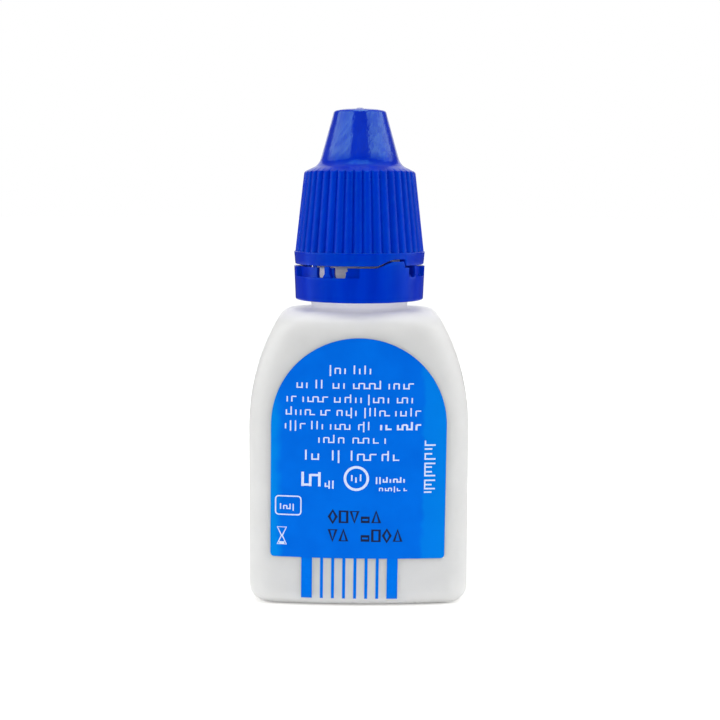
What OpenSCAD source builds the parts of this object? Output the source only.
// Small squeeze bottle for eye drops, with a dropper insert, a ribbed screw cap and a tamper ring.
// Millimetres, +Z up, origin at the centre of the base, the printed face towards -Y.

/* [Bottle body] */
// Width of the body across its sides
body_w = 29.3; // [24:0.1:36]
// Depth of the body from front face to back face
body_d = 17.2; // [15:0.1:22]
// Height of the flat top of the shoulder above the base
shoulder_z = 39.2; // [34:0.1:50]
// Radius of the bow of the front and back faces, seen from above
face_bow_r = 80; // [50:1:150]
// Radius of the upright corners, seen from above
corner_r = 3.0; // [2.5:0.1:4]
// Radius of the same corners where they reach the flat of the shoulder
shoulder_corner_r = 4.2; // [3:0.1:5]
// Radius of the same corners where they reach the flat of the base
foot_corner_r = 1.5; // [1:0.1:3]
// Radius of the top and bottom edges of the front and back faces
edge_r = 2.3; // [1.6:0.1:3]
// Radius of the arcs that draw the sides in towards the shoulder
side_arc_r = 29.5; // [26:0.5:34]
// Lean of the sides where the arcs end, from upright
side_arc_angle = 29; // [22:1:34]
// Radius between the leaning sides and the flat shoulder
shoulder_r = 2.5; // [1.8:0.1:3]
// Radius between the sides and the base
base_r = 2.3; // [1.6:0.1:3]
// Wall thickness of the blown body
body_wall = 0.9; // [0.6:0.05:1.3]
// Radius of the hollow under the base
push_up_r = 5.2; // [3:0.1:6]
// Depth of the hollow under the base
push_up_depth = 0.45; // [0.2:0.05:0.7]

/* [Neck] */
// How far the neck wall under the thread stands in from the collar
neck_inset = 1.2; // [0.9:0.05:1.5]
// Wall thickness of the neck
neck_wall_t = 1.4; // [1.1:0.05:1.8]
// Height of the neck rim above the shoulder
neck_h = 16.1; // [15:0.1:19]
// Gap between the collar at the foot of the neck and the snap bead of the tamper ring
collar_gap = 0.22; // [0.15:0.01:0.4]
// How much narrower the collar is at the shoulder
collar_lean = 0.45; // [0.1:0.05:0.7]
// Height of the collar above the shoulder
collar_h = 2.2; // [1.8:0.1:2.6]
// Gap between the bead that holds the tamper ring down and the ring's bore
bead_gap = 0.2; // [0.1:0.01:0.3]
// Height of the sloped side under the bead
bead_foot_h = 0.7; // [0.5:0.1:1]
// Height of the outer face of that bead
bead_h = 0.7; // [0.4:0.1:1]
// Height of the sloped side above the bead
bead_slope_h = 0.9; // [0.5:0.1:1.2]
// Radius of the cove between the collar and the shoulder
collar_cove_r = 0.6; // [0.3:0.1:1]
// Radius of the rounded rim
rim_edge_r = 0.35; // [0.2:0.05:0.5]

/* [Thread] */
// Rise of the thread in one turn
thread_pitch = 3.0; // [2.6:0.1:3.4]
// Height of the thread on the neck, measured outwards
thread_depth = 0.55; // [0.4:0.05:0.6]
// Width of the thread at its root
thread_root_w = 1.15; // [0.9:0.05:1.3]
// Width of the thread at its crest
thread_crest_w = 0.6; // [0.4:0.05:0.7]
// Number of turns on the neck
neck_thread_turns = 1.6; // [1.3:0.05:1.7]
// Number of turns in the cap
cap_thread_turns = 1.25; // [1:0.05:1.4]
// Height of the first point of the neck thread above the tamper ring bead
thread_start_gap = 4.4; // [4:0.1:5]
// Clearance between the flanks of the two threads
thread_gap = 0.12; // [0.08:0.01:0.2]
// Clearance between the crest of each thread and the wall that it faces
thread_crest_gap = 0.15; // [0.1:0.01:0.2]

/* [Tamper ring] */
// How far the ring and the cap stand out past the front and back faces of the body
ring_overhang = 0.18; // [0:0.01:0.6]
// How much narrower the ring is at its bottom edge
ring_draft = 0.18; // [0.05:0.01:0.3]
// Wall thickness of the ring at its top edge
ring_wall = 1.13; // [0.9:0.01:1.4]
// Height of the ring from its bottom edge to the slit
ring_h = 4.52; // [4:0.01:5]
// Gap between the shoulder and the bottom of the ring
ring_lift = 1.3; // [0.8:0.1:1.4]
// How far the ring's snap bead reaches in under the neck bead
ring_snap_reach = 0.33; // [0.2:0.01:0.45]
// Height of the snap bead
ring_snap_h = 0.8; // [0.5:0.1:0.9]
// Height of the slope above the snap bead
snap_slope_h = 0.5; // [0.3:0.1:0.8]
// Chamfer under the snap bead, which leads it over the neck bead
snap_lead = 0.25; // [0.1:0.05:0.4]
// Radius of the ring's lower outer edge
ring_edge_r = 0.2; // [0.1:0.05:0.3]
// Width of the slit between the ring and the cap
slit = 0.25; // [0.15:0.01:0.4]
// Gap between the slopes of a drive tooth and its notch in the cap
ramp_gap = 0.32; // [0.2:0.01:0.4]
// Height of the drive teeth above the slit
tooth_h = 0.84; // [0.5:0.01:1]
// Angle at which a drive tooth begins to rise
tooth_start = 15; // [10:1:20]
// Angle over which the tooth rises
tooth_rise = 16; // [10:1:20]
// Angle at which the tooth ends in its upright face
tooth_end = 42; // [38:1:44]
// Depth of the pockets below the slit
pocket_depth = 1.3; // [0.8:0.05:1.6]
// Thickness of the thin wall left standing in the pockets
pocket_wall = 0.5; // [0.3:0.01:0.7]
// Angles at which the wide pocket begins and ends
wide_pocket = [-72, 0]; // [-90:0.5:90]
// Angles at which the narrow pocket begins and ends
narrow_pocket = [48, 84]; // [-90:0.5:90]
// Angles at which the first window through the thin wall begins and ends
first_window = [-43, -32.5]; // [-90:0.5:90]
// Angles at which the second window begins and ends
second_window = [-24, -11]; // [-90:0.5:90]
// Angles at which the third window begins and ends
third_window = [49.5, 58.5]; // [-90:0.5:90]
// Angles at which the fourth window begins and ends
fourth_window = [63, 68]; // [-90:0.5:90]
// Number of times that the pattern repeats round the ring
ring_repeats = 2; // [1:1:2]

/* [Tamper bridges] */
// Angle of the bridge between the first two windows
first_bridge = -29.5; // [-31:0.5:-26]
// Angle of the bridge between the other two windows
second_bridge = 60.75; // [60.5:0.25:61]
// Width of a breakable bridge across its front
bridge_w = 0.8; // [0.4:0.05:1]
// Thickness of a bridge from front to back
bridge_t = 0.45; // [0.3:0.01:0.55]
// Width that a bridge gains on each side at its foot
bridge_foot = 0.3; // [0.1:0.05:0.4]
// Gap between a bridge and the thin wall behind it
bridge_wall_gap = 0.02; // [0.01:0.01:0.05]
// Gap at the break line between a bridge and the cap
bridge_gap = 0.04; // [0.02:0.01:0.08]

/* [Cap] */
// How much narrower the plain band is at the cap's bottom edge
band_draft = 0.14; // [0.05:0.01:0.25]
// Height of the plain band
band_h = 1.7; // [1.2:0.05:2.5]
// How far the feet of the ribs stand in from the band
rib_step = 0.13; // [0.05:0.01:0.3]
// How much narrower the ribbed skirt is at its top
rib_draft = 1.22; // [0.8:0.01:1.4]
// Height of the ribs
rib_h = 10.65; // [9.5:0.05:13]
// Number of ribs round the cap
rib_count = 40; // [24:1:48]
// Depth of the grooves between the ribs
rib_depth = 0.3; // [0.2:0.01:0.4]
// Turn of the rib pattern from the front
rib_turn = -1.3; // [-9:0.1:9]
// Radius of the rounded edge above the ribs
cap_edge_r = 0.5; // [0.3:0.05:0.8]
// Height of the sloped shoulder above the ribs
cap_shoulder_h = 0.55; // [0.3:0.05:0.8]
// Radius at the top of the sloped shoulder
cap_shoulder_r = 6.0; // [5.9:0.05:6.6]
// Height of the cove between the shoulder and the tip
cove_h = 1.1; // [0.8:0.05:1.6]
// Radius of the cove's hollow
cove_r = 2; // [1.2:0.1:3]
// Radius of the tip at its foot
tip_foot_r = 5.2; // [5:0.05:5.6]
// Radius of the tip at its top
tip_top_r = 3.55; // [3.3:0.05:4]
// Height of the tapered tip above the cove
tip_h = 6.3; // [5.5:0.05:7]
// Rise of the slightly domed end of the tip
dome_h = 0.25; // [0.1:0.05:0.4]
// Radius of the rounded edge at the end of the tip
tip_edge_r = 0.6; // [0.2:0.05:0.6]
// Wall thickness of the tip
tip_wall = 0.95; // [0.7:0.05:1.1]
// Height of the wide mouth inside the band
mouth_h = 0.9; // [0.6:0.1:1.2]
// Radius of the moulding gate mark on the end of the tip
gate_r = 0.5; // [0.3:0.05:0.8]
// Height of the gate mark
gate_h = 0.12; // [0.05:0.01:0.2]
// Radius of the sealing pin inside the tip
seal_pin_r = 0.36; // [0.3:0.01:0.45]
// Depth that the sealing pin reaches into the dropper
seal_pin_reach = 1.0; // [0.6:0.1:1.6]
// Size of the slope where the sealing pin joins the roof
seal_pin_foot = 0.4; // [0.2:0.05:0.6]

/* [Dropper] */
// How far the flange that rests on the neck rim stands in from the neck wall
flange_inset = 0.2; // [0.1:0.05:0.5]
// Thickness of the flange
flange_h = 1.1; // [0.8:0.05:1.2]
// Length of the plug that goes down into the neck
plug_h = 5.5; // [4:0.1:7]
// Gap between the plug and the neck bore, between the sealing beads
plug_gap = 0.06; // [0.03:0.01:0.1]
// Squeeze of the sealing beads in the neck bore
plug_squeeze = 0.03; // [0.01:0.01:0.05]
// Depth of the upper sealing bead below the neck rim
plug_bead_depth = 1.5; // [1:0.1:1.6]
// Distance between the two sealing beads
plug_bead_pitch = 1.8; // [1.2:0.1:1.9]
// Height of a sealing bead at its foot
plug_bead_h = 0.9; // [0.6:0.05:1]
// Height of the straight crest of a sealing bead
plug_bead_crest_h = 0.3; // [0.1:0.05:0.4]
// Wall thickness of the plug
plug_wall = 0.85; // [0.6:0.05:1.1]
// Clearance between the nozzle and the inside of the cap's tip
nozzle_gap = 1.05; // [0.8:0.05:1.2]
// Radius of the rounded edges of the flange and the nozzle
nozzle_edge_r = 0.25; // [0.1:0.05:0.35]
// Height of the nozzle above the flange
nozzle_h = 7.3; // [6.5:0.1:7.4]
// Radius of the drop channel
channel_r = 0.42; // [0.4:0.01:0.6]
// Length of the drop channel
channel_h = 3.2; // [2:0.1:4]
// Depth below the neck rim at which the hollow of the dropper starts to narrow
hollow_turn_depth = 0.4; // [0.2:0.1:1]
// Radius of the funnel at the mouth of the channel
funnel_r = 0.95; // [0.7:0.05:1.1]
// Depth of the funnel
funnel_h = 0.8; // [0.4:0.1:1.2]
// Gap between the flange and the underside of the cap
seal_gap = 0.08; // [0.05:0.01:0.15]

/* [Labels] */
// Width of a label
label_w = 23.05; // [18:0.05:23.4]
// Height of the bottom edge of the labels above the base
label_z = 6.8; // [4:0.1:10]
// Height of a label from its bottom edge to the crown of its arch
label_h = 29.2; // [20:0.1:30]
// Thickness of the label film
label_t = 0.1; // [0.06:0.01:0.15]

/* [Hidden] */
$fn = 96;

// Levels that the pieces share
rim_z = shoulder_z + neck_h;
collar_z = shoulder_z + collar_h;
bead_z = collar_z + bead_foot_h;
ring_z = shoulder_z + ring_lift;
slit_z = ring_z + ring_h;
cap_z = slit_z + slit;
rib_z = cap_z + band_h;
rib_top_z = rib_z + rib_h;
cove_z = rib_top_z + cap_shoulder_h;
tip_z = cove_z + cove_h;
tip_top_z = tip_z + tip_h;
cap_top_z = tip_top_z + dome_h;
flange_top_z = rim_z + flange_h;
roof_z = flange_top_z + seal_gap;
nozzle_top_z = flange_top_z + nozzle_h;
ledge_z = slit_z - pocket_depth;

// Lengths that only help to join or cut forms
overlap = 0.3;
past = 1;
sliver = 0.01;
tooth_inset = 0.04;
tooth_side_angle = 5;
rib_skin = 0.02;
// Share of the room between neighbouring ribs that a rib fills
rib_fill = 0.97;

// Radii from the outside of the ring inwards
ring_top_r = body_d / 2 + ring_overhang;
ring_foot_r = ring_top_r - ring_draft;
ring_bore_r = ring_top_r - ring_wall;
pocket_wall_r = ring_bore_r + pocket_wall;
bead_r = ring_bore_r - bead_gap;
ring_snap_r = bead_r - ring_snap_reach;
collar_r = ring_snap_r - collar_gap;
collar_foot_r = collar_r - collar_lean;
neck_r = collar_r - neck_inset;
neck_bore_r = neck_r - neck_wall_t;
flange_r = neck_r - flange_inset;

// Radii of the cap, and of the nozzle inside its tip
band_r = ring_top_r;
band_foot_r = band_r - band_draft;
rib_foot_r = band_r - rib_step;
rib_top_r = rib_foot_r - rib_draft;
tip_bore_foot_r = tip_foot_r - tip_wall;
tip_bore_top_r = tip_top_r - tip_wall;
nozzle_foot_r = tip_bore_foot_r - nozzle_gap;
nozzle_tip_r = tip_bore_top_r - nozzle_gap;

// Thread values
thread_z = bead_z + bead_h + thread_start_gap;
thread_crest_r = neck_r + thread_depth;
cap_bore_r = thread_crest_r + thread_crest_gap;
cap_crest_r = neck_r + thread_crest_gap;
flank_slope = (thread_root_w - thread_crest_w) / 2 / thread_depth;
flank_sum = thread_root_w - flank_slope * (cap_bore_r - neck_r);
cap_thread_z = thread_z - flank_sum - thread_gap;
thread_step = 10;
thread_fade = 30;

// Outline of the body, seen from above
bow_steps = 5;
corner_steps = 6;
fillet_steps = 6;
arc_steps = 8;

// Half width of the body's front outline at height z, drawn in by an inset
function side_at(z, inset) =
    let(
        w = body_w / 2 - inset,
        arc_r = side_arc_r - inset,
        top_r = shoulder_r - inset,
        foot_r = base_r - inset,
        top = shoulder_z - inset,
        arc_top_z = top - top_r * (1 - sin(side_arc_angle)),
        arc_z = arc_top_z - arc_r * sin(side_arc_angle),
        arc_top_w = w - arc_r * (1 - cos(side_arc_angle)),
        top_w = arc_top_w - top_r * cos(side_arc_angle)
    )
    z < inset + foot_r ? w - foot_r + sqrt(max(0, foot_r * foot_r - pow(inset + foot_r - z, 2))) :
    z < arc_z ? w :
    z < arc_top_z ? w - arc_r + sqrt(arc_r * arc_r - pow(z - arc_z, 2)) :
    top_w + sqrt(max(0, top_r * top_r - pow(z - top + top_r, 2)));

// How far the front and back faces are drawn in at height z by their rounded edges
function face_inset_at(z, inset) =
    let(
        r = edge_r - inset,
        reach = max(0, inset + r - z, z - shoulder_z + inset + r)
    )
    r - sqrt(max(0, r * r - reach * reach));

// Heights of the rings of points, close together where the outline bends
function ring_heights(inset) =
    let(
        r = edge_r - inset,
        top = shoulder_z - inset,
        arc_top_z = top - (shoulder_r - inset) * (1 - sin(side_arc_angle)),
        arc_z = arc_top_z - (side_arc_r - inset) * sin(side_arc_angle),
        fillet_z = top - r
    )
    [
        for (i = [0 : fillet_steps]) inset + r * (1 - cos(90 * i / fillet_steps)),
        for (i = [0 : arc_steps - 1]) arc_z + (fillet_z - arc_z) * i / arc_steps,
        for (i = [0 : fillet_steps]) fillet_z + r * sin(90 * i / fillet_steps)
    ];

// A quarter of the plan outline: the bowed face, then the upright corner, then the side
function plan_quarter(w, d, r, bow_r) =
    let(
        corner_x = w - r,
        corner_y = sqrt(pow(bow_r - r, 2) - corner_x * corner_x) - (bow_r - d),
        bow_angle = asin(corner_x / (bow_r - r))
    )
    [
        for (i = [0 : bow_steps - 1])
            let(a = bow_angle * (i + 0.5) / bow_steps)
            [bow_r * sin(a), bow_r * cos(a) - bow_r + d],
        for (i = [0 : corner_steps])
            let(a = bow_angle + (90 - bow_angle) * i / corner_steps)
            [corner_x + r * sin(a), corner_y + r * cos(a)]
    ];

function reversed(list) = [for (i = [len(list) - 1 : -1 : 0]) list[i]];

function plan_outline(w, d, r, bow_r) =
    let(q = plan_quarter(w, d, r, bow_r))
    concat(
        [for (p = q) [p.x, -p.y]],
        [for (p = reversed(q)) p],
        [for (p = q) [-p.x, p.y]],
        [for (p = reversed(q)) [-p.x, -p.y]]
    );

// Solid between rings of points, closed by a flat fan at each end
module ring_solid(rings) {
    n = len(rings[0]);
    last = len(rings) - 1;
    points = concat([for (ring = rings) each ring], [[0, 0, rings[0][0].z]], [[0, 0, rings[last][0].z]]);
    foot = n * (last + 1);
    crown = foot + 1;
    walls = [
        for (k = [0 : last - 1], i = [0 : n - 1])
            let(j = (i + 1) % n, a = k * n, b = a + n)
            each [[a + i, b + j, a + j], [a + i, b + i, b + j]]
    ];
    ends = [
        for (i = [0 : n - 1])
            let(j = (i + 1) % n)
            each [[foot, i, j], [crown, last * n + j, last * n + i]]
    ];
    polyhedron(points = points, faces = concat(walls, ends), convexity = 4);
}

// The body's form, drawn in all round by an inset
module body_form(inset) {
    rings = [
        for (z = ring_heights(inset))
            let(
                pull = face_inset_at(z, inset),
                w = side_at(z, inset),
                d = body_d / 2 - inset - pull,
                end_r = z < shoulder_z / 2 ? foot_corner_r : shoulder_corner_r,
                r = corner_r + (end_r - corner_r) * pull / (edge_r - inset) - inset
            )
            [for (p = plan_outline(w, d, r, face_bow_r - inset - pull)) [p.x, p.y, z]]
    ];
    ring_solid(rings);
}

// Helical ridge from angle 0 to the given turns, standing from root_r to crest_r
module thread_ridge(root_r, crest_r, buried_r, turns, foot_z) {
    steps = ceil(turns * 360 / thread_step);
    slope_w = flank_slope * abs(buried_r - root_r) * 2;
    rings = [
        for (i = [0 : steps])
            let(
                a = turns * 360 * i / steps,
                z = foot_z + thread_pitch * a / 360,
                grow = min(1, a / thread_fade, (turns * 360 - a) / thread_fade),
                r = root_r + (crest_r - root_r) * grow + (buried_r - root_r) * 0.5 * (1 - grow),
                w = thread_crest_w + (thread_root_w - thread_crest_w) * (1 - grow)
            )
            [
                for (p = [
                    [buried_r, -(thread_root_w + slope_w) / 2],
                    [r, -w / 2],
                    [r, w / 2],
                    [buried_r, (thread_root_w + slope_w) / 2]
                ])
                    [p.x * cos(a), p.x * sin(a), z + p.y]
            ]
    ];
    last = steps * 4;
    outward = crest_r > root_r;
    quads = [
        for (k = [0 : steps - 1], i = [0 : 3])
            let(j = (i + 1) % 4, a = k * 4, b = a + 4)
            each [[a + i, b + i, b + j], [a + i, b + j, a + j]]
    ];
    ends = [[0, 1, 2], [0, 2, 3], [last, last + 2, last + 1], [last, last + 3, last + 2]];
    faces = concat(quads, ends);
    polyhedron(
        points = [for (ring = rings) each ring],
        faces = outward ? [for (f = faces) reversed(f)] : faces,
        convexity = 6
    );
}

// Sector of a ring, centred on the camera side, with angles growing towards +X
module sector(inner_r, outer_r, low_z, high_z, from, to) {
    rotate([0, 0, from - 90])
        rotate_extrude(angle = to - from)
            translate([inner_r, low_z])
                square([outer_r - inner_r, high_z - low_z]);
}

module bottle() {
    color("white") difference() {
        union() {
            body_form(0);
            neck_wall();
            thread_ridge(neck_r, thread_crest_r, neck_r - overlap, neck_thread_turns, thread_z);
        }
        body_form(body_wall);
        translate([0, 0, shoulder_z - body_wall - overlap])
            cylinder(r = neck_bore_r, h = rim_z - shoulder_z + body_wall + 2 * overlap);
        push_up();
    }
}

// Neck with its collar, the ring bead and a rounded rim
module neck_wall() {
    inner_r = neck_bore_r - overlap;
    cove = collar_cove_r;
    cove_x = collar_foot_r + cove;
    rotate_extrude() difference() {
        union() {
            polygon([
                [inner_r, shoulder_z - body_wall],
                [cove_x, shoulder_z - body_wall],
                [cove_x, shoulder_z],
                [collar_foot_r, shoulder_z + cove],
                [collar_r, collar_z],
                [bead_r, bead_z],
                [bead_r, bead_z + bead_h],
                [neck_r + overlap, bead_z + bead_h + bead_slope_h],
                [neck_r, bead_z + bead_h + bead_slope_h + overlap],
                [neck_r, rim_z - rim_edge_r],
                [neck_r - rim_edge_r, rim_z],
                [inner_r, rim_z]
            ]);
            translate([neck_r - rim_edge_r, rim_z - rim_edge_r]) circle(r = rim_edge_r);
        }
        translate([cove_x, shoulder_z + cove]) circle(r = cove);
    }
}

// Shallow hollow that keeps the middle of the base off the table
module push_up() {
    translate([0, 0, -overlap])
        cylinder(r1 = push_up_r + overlap, r2 = push_up_r - push_up_depth, h = push_up_depth + overlap);
}

module dropper_nozzle() {
    plug_r = neck_bore_r - plug_gap;
    plug_z = rim_z - plug_h;
    hollow_r = plug_r - plug_wall;
    hollow_turn_z = rim_z - hollow_turn_depth;
    hollow_top_z = nozzle_top_z - channel_h - funnel_h;
    color("whitesmoke") difference() {
        union() {
            translate([0, 0, plug_z]) cylinder(r = plug_r, h = plug_h + flange_h / 2);
            for (depth = [plug_bead_depth, plug_bead_depth + plug_bead_pitch])
                translate([0, 0, rim_z - depth]) plug_bead(plug_r);
            rotate_extrude() flange_profile(nozzle_edge_r);
            rotate_extrude() nozzle_profile(nozzle_edge_r);
        }
        translate([0, 0, plug_z - overlap]) cylinder(r = hollow_r, h = hollow_turn_z - plug_z + overlap);
        translate([0, 0, hollow_turn_z])
            cylinder(r1 = hollow_r, r2 = channel_r, h = hollow_top_z - hollow_turn_z);
        translate([0, 0, hollow_top_z - overlap]) cylinder(r = channel_r, h = channel_h + 2 * overlap);
        translate([0, 0, nozzle_top_z - funnel_h])
            cylinder(r1 = channel_r, r2 = funnel_r, h = funnel_h + sliver);
    }
}

// Rounded sealing bead round the plug
module plug_bead(plug_r) {
    crest_r = plug_r + plug_gap + plug_squeeze;
    foot = plug_bead_h / 2;
    crest = plug_bead_crest_h / 2;
    rotate_extrude()
        polygon([
            [plug_r - overlap, -foot],
            [plug_r, -foot],
            [crest_r, -crest],
            [crest_r, crest],
            [plug_r, foot],
            [plug_r - overlap, foot]
        ]);
}

module flange_profile(edge_r) {
    translate([0, rim_z]) square([flange_r - edge_r, flange_h]);
    translate([0, rim_z]) square([flange_r, flange_h - edge_r]);
    translate([flange_r - edge_r, flange_top_z - edge_r]) circle(r = edge_r);
}

// Tapered nozzle with a rounded lip
module nozzle_profile(edge_r) {
    polygon([
        [0, flange_top_z - overlap],
        [nozzle_foot_r, flange_top_z - overlap],
        [nozzle_foot_r, flange_top_z],
        [nozzle_tip_r, nozzle_top_z - edge_r],
        [nozzle_tip_r - edge_r, nozzle_top_z],
        [0, nozzle_top_z]
    ]);
    translate([nozzle_tip_r - edge_r, nozzle_top_z - edge_r]) circle(r = edge_r);
}

module cap() {
    color("royalblue") difference() {
        union() {
            difference() {
                cap_shell();
                cap_hollow();
            }
            thread_ridge(cap_bore_r, cap_crest_r, cap_bore_r + overlap, cap_thread_turns, cap_thread_z);
            seal_pin();
        }
        for (i = [0 : ring_repeats - 1])
            rotate([0, 0, i * 360 / ring_repeats]) tooth_form(slit, ramp_gap, cap_z - overlap);
    }
}

// Outside of the cap: plain band, ribbed skirt, shoulder, cove and tapered tip
module cap_shell() {
    translate([0, 0, cap_z]) cylinder(r1 = band_foot_r, r2 = band_r, h = band_h);
    translate([0, 0, rib_z - overlap])
        cylinder(r1 = rib_foot_r - rib_depth, r2 = rib_top_r - rib_depth, h = rib_h + overlap);
    intersection() {
        cap_ribs();
        rib_envelope();
    }
    rotate_extrude() tip_profile();
    translate([0, 0, cap_top_z - overlap]) cylinder(r = gate_r, h = gate_h + overlap);
}

// Tapered round ribs, each standing half out of the skirt
module cap_ribs() {
    foot = rib_radius(rib_foot_r);
    top = rib_radius(rib_top_r);
    run = (rib_foot_r - foot) - (rib_top_r - top);
    lean = atan(run / rib_h);
    for (i = [0 : rib_count - 1])
        rotate([0, 0, i * 360 / rib_count - 90 + rib_turn])
            translate([rib_foot_r - foot, 0, rib_z])
                rotate([0, -lean, 0])
                    translate([0, 0, -overlap])
                        cylinder(r1 = foot, r2 = top, h = rib_h / cos(lean) + 2 * overlap);
}

// Radius of a rib whose neighbours just clear it at the given outer radius
function rib_radius(outer_r) =
    let(half_pitch = sin(180 / rib_count))
    rib_fill * outer_r * half_pitch / (1 + half_pitch);

// Space that the ribs may fill, with a rounded shoulder
module rib_envelope() {
    top_r = rib_top_r + rib_skin;
    rotate_extrude() union() {
        polygon([
            [0, rib_z - overlap],
            [rib_foot_r + 2 * rib_skin, rib_z - overlap],
            [rib_foot_r + 2 * rib_skin, rib_z],
            [top_r, rib_top_z - cap_edge_r],
            [top_r - cap_edge_r, rib_top_z],
            [0, rib_top_z]
        ]);
        translate([top_r - cap_edge_r, rib_top_z - cap_edge_r]) circle(r = cap_edge_r);
    }
}

// Half profile of the shoulder, cove and tip
module tip_profile() {
    skirt_r = rib_top_r - rib_depth;
    edge = tip_edge_r;
    cove_chord = norm([cap_shoulder_r - tip_foot_r, cove_h]);
    cove_off = sqrt(cove_r * cove_r - pow(cove_chord / 2, 2)) / cove_chord;
    difference() {
        polygon([
            [0, rib_top_z - overlap],
            [skirt_r, rib_top_z - overlap],
            [skirt_r, rib_top_z],
            [cap_shoulder_r, cove_z],
            [tip_foot_r, tip_z],
            [tip_top_r, tip_top_z - edge],
            [tip_top_r - edge, tip_top_z],
            [0, cap_top_z]
        ]);
        translate([
            (cap_shoulder_r + tip_foot_r) / 2 + cove_h * cove_off,
            (cove_z + tip_z) / 2 + (cap_shoulder_r - tip_foot_r) * cove_off
        ])
            circle(r = cove_r);
    }
    translate([tip_top_r - edge, tip_top_z - edge]) circle(r = edge);
}

// Inside of the cap: wide mouth, threaded bore and the space round the nozzle
module cap_hollow() {
    mouth_z = cap_z + mouth_h;
    tip_bore_h = tip_top_z - tip_wall - roof_z;
    translate([0, 0, cap_z - overlap]) cylinder(r = ring_bore_r, h = mouth_h + overlap);
    translate([0, 0, mouth_z - sliver])
        cylinder(r1 = ring_bore_r, r2 = cap_bore_r, h = ring_bore_r - cap_bore_r);
    translate([0, 0, cap_z]) cylinder(r = cap_bore_r, h = roof_z - cap_z);
    translate([0, 0, roof_z - sliver]) cylinder(r1 = tip_bore_foot_r, r2 = tip_bore_top_r, h = tip_bore_h);
}

// Pin that closes the mouth of the dropper
module seal_pin() {
    top_z = tip_top_z - tip_wall;
    low_z = nozzle_top_z - funnel_h - seal_pin_reach;
    translate([0, 0, low_z]) cylinder(r = seal_pin_r, h = top_z - low_z + overlap);
    translate([0, 0, top_z - seal_pin_foot])
        cylinder(r1 = seal_pin_r, r2 = seal_pin_r + seal_pin_foot, h = seal_pin_foot + sliver);
}

// A drive tooth of the ring, or with margins round it and over its slope the notch for it in the cap
module tooth_form(margin, ramp_margin, low_z) {
    middle = (tooth_start + tooth_end) / 2;
    reach = ring_top_r + past;
    low_x = reach * sin(tooth_start - middle);
    ramp_x = reach * sin(tooth_start + tooth_rise - middle);
    high_x = reach * sin(tooth_end - middle) + margin;
    top_z = slit_z + tooth_h + margin;
    ramp_angle = atan(tooth_h / (ramp_x - low_x));
    ramp_shift = ramp_margin / sin(ramp_angle);
    intersection() {
        rotate([0, 0, middle]) translate([0, past - ring_bore_r, 0]) rotate([90, 0, 0])
            linear_extrude(height = ring_wall + 3 * past)
                polygon([
                    [low_x - ramp_shift, low_z],
                    [low_x - ramp_shift, slit_z],
                    [ramp_x - ramp_shift + margin / tan(ramp_angle), top_z],
                    [high_x, top_z],
                    [high_x, low_z]
                ]);
        sector(
            ring_bore_r + tooth_inset - margin, ring_top_r - tooth_inset + margin,
            low_z, top_z, tooth_start - tooth_side_angle, tooth_end + tooth_side_angle
        );
    }
}

module tamper_ring() {
    color("royalblue") difference() {
        union() {
            rotate_extrude() ring_profile();
            for (i = [0 : ring_repeats - 1])
                rotate([0, 0, i * 360 / ring_repeats]) tooth_form(0, 0, slit_z - overlap);
        }
        for (i = [0 : ring_repeats - 1]) rotate([0, 0, i * 360 / ring_repeats]) ring_cuts();
    }
}

// Half profile of the ring wall with its snap bead
module ring_profile() {
    snap_top_z = ring_z + ring_snap_h;
    polygon([
        [ring_foot_r - ring_edge_r, ring_z],
        [ring_foot_r, ring_z + ring_edge_r],
        [ring_top_r, slit_z],
        [ring_bore_r, slit_z],
        [ring_bore_r, snap_top_z + snap_slope_h],
        [ring_snap_r, snap_top_z],
        [ring_snap_r, ring_z + snap_lead],
        [ring_snap_r + snap_lead, ring_z]
    ]);
}

// Pockets in the outer wall, and the windows through the thin wall behind them
module ring_cuts() {
    top_z = slit_z + overlap;
    for (pocket = [wide_pocket, narrow_pocket])
        sector(pocket_wall_r, ring_top_r + past, ledge_z, top_z, pocket[0], pocket[1]);
    for (window = [first_window, second_window, third_window, fourth_window])
        sector(ring_bore_r - past, ring_top_r + past, ledge_z, top_z, window[0], window[1]);
}

// Thin posts that join the ring to the cap until the first opening
module tamper_bridges() {
    color("mediumblue")
        for (i = [0 : ring_repeats - 1], at = [first_bridge, second_bridge])
            rotate([0, 0, i * 360 / ring_repeats + at]) bridge();
}

// One post, wider at its foot, standing on the ledge of a pocket
module bridge() {
    side = bridge_w / 2;
    high = cap_z - bridge_gap - ledge_z;
    translate([0, -pocket_wall_r - bridge_wall_gap, ledge_z]) rotate([90, 0, 0])
        linear_extrude(height = bridge_t)
            polygon([
                [-side - bridge_foot, 0],
                [side + bridge_foot, 0],
                [side, bridge_foot],
                [side, high],
                [-side, high],
                [-side, bridge_foot]
            ]);
}

module label_front() {
    color("dodgerblue") label_panel();
}

module label_back() {
    color("dodgerblue") rotate([0, 0, 180]) label_panel();
}

// Film panel with an arched top, bent to the bow of the face
module label_panel() {
    crown_r = label_w / 2;
    intersection() {
        translate([0, 2 * past - body_d / 2, 0]) rotate([90, 0, 0]) linear_extrude(height = 3 * past) {
            translate([-crown_r, label_z]) square([label_w, label_h - crown_r]);
            translate([0, label_z + label_h - crown_r]) circle(r = crown_r);
        }
        translate([0, face_bow_r - body_d / 2, label_z - past]) difference() {
            cylinder(r = face_bow_r + label_t, h = label_h + 2 * past);
            translate([0, 0, -past]) cylinder(r = face_bow_r, h = label_h + 4 * past);
        }
    }
}

bottle();
dropper_nozzle();
cap();
tamper_ring();
tamper_bridges();
label_front();
label_back();
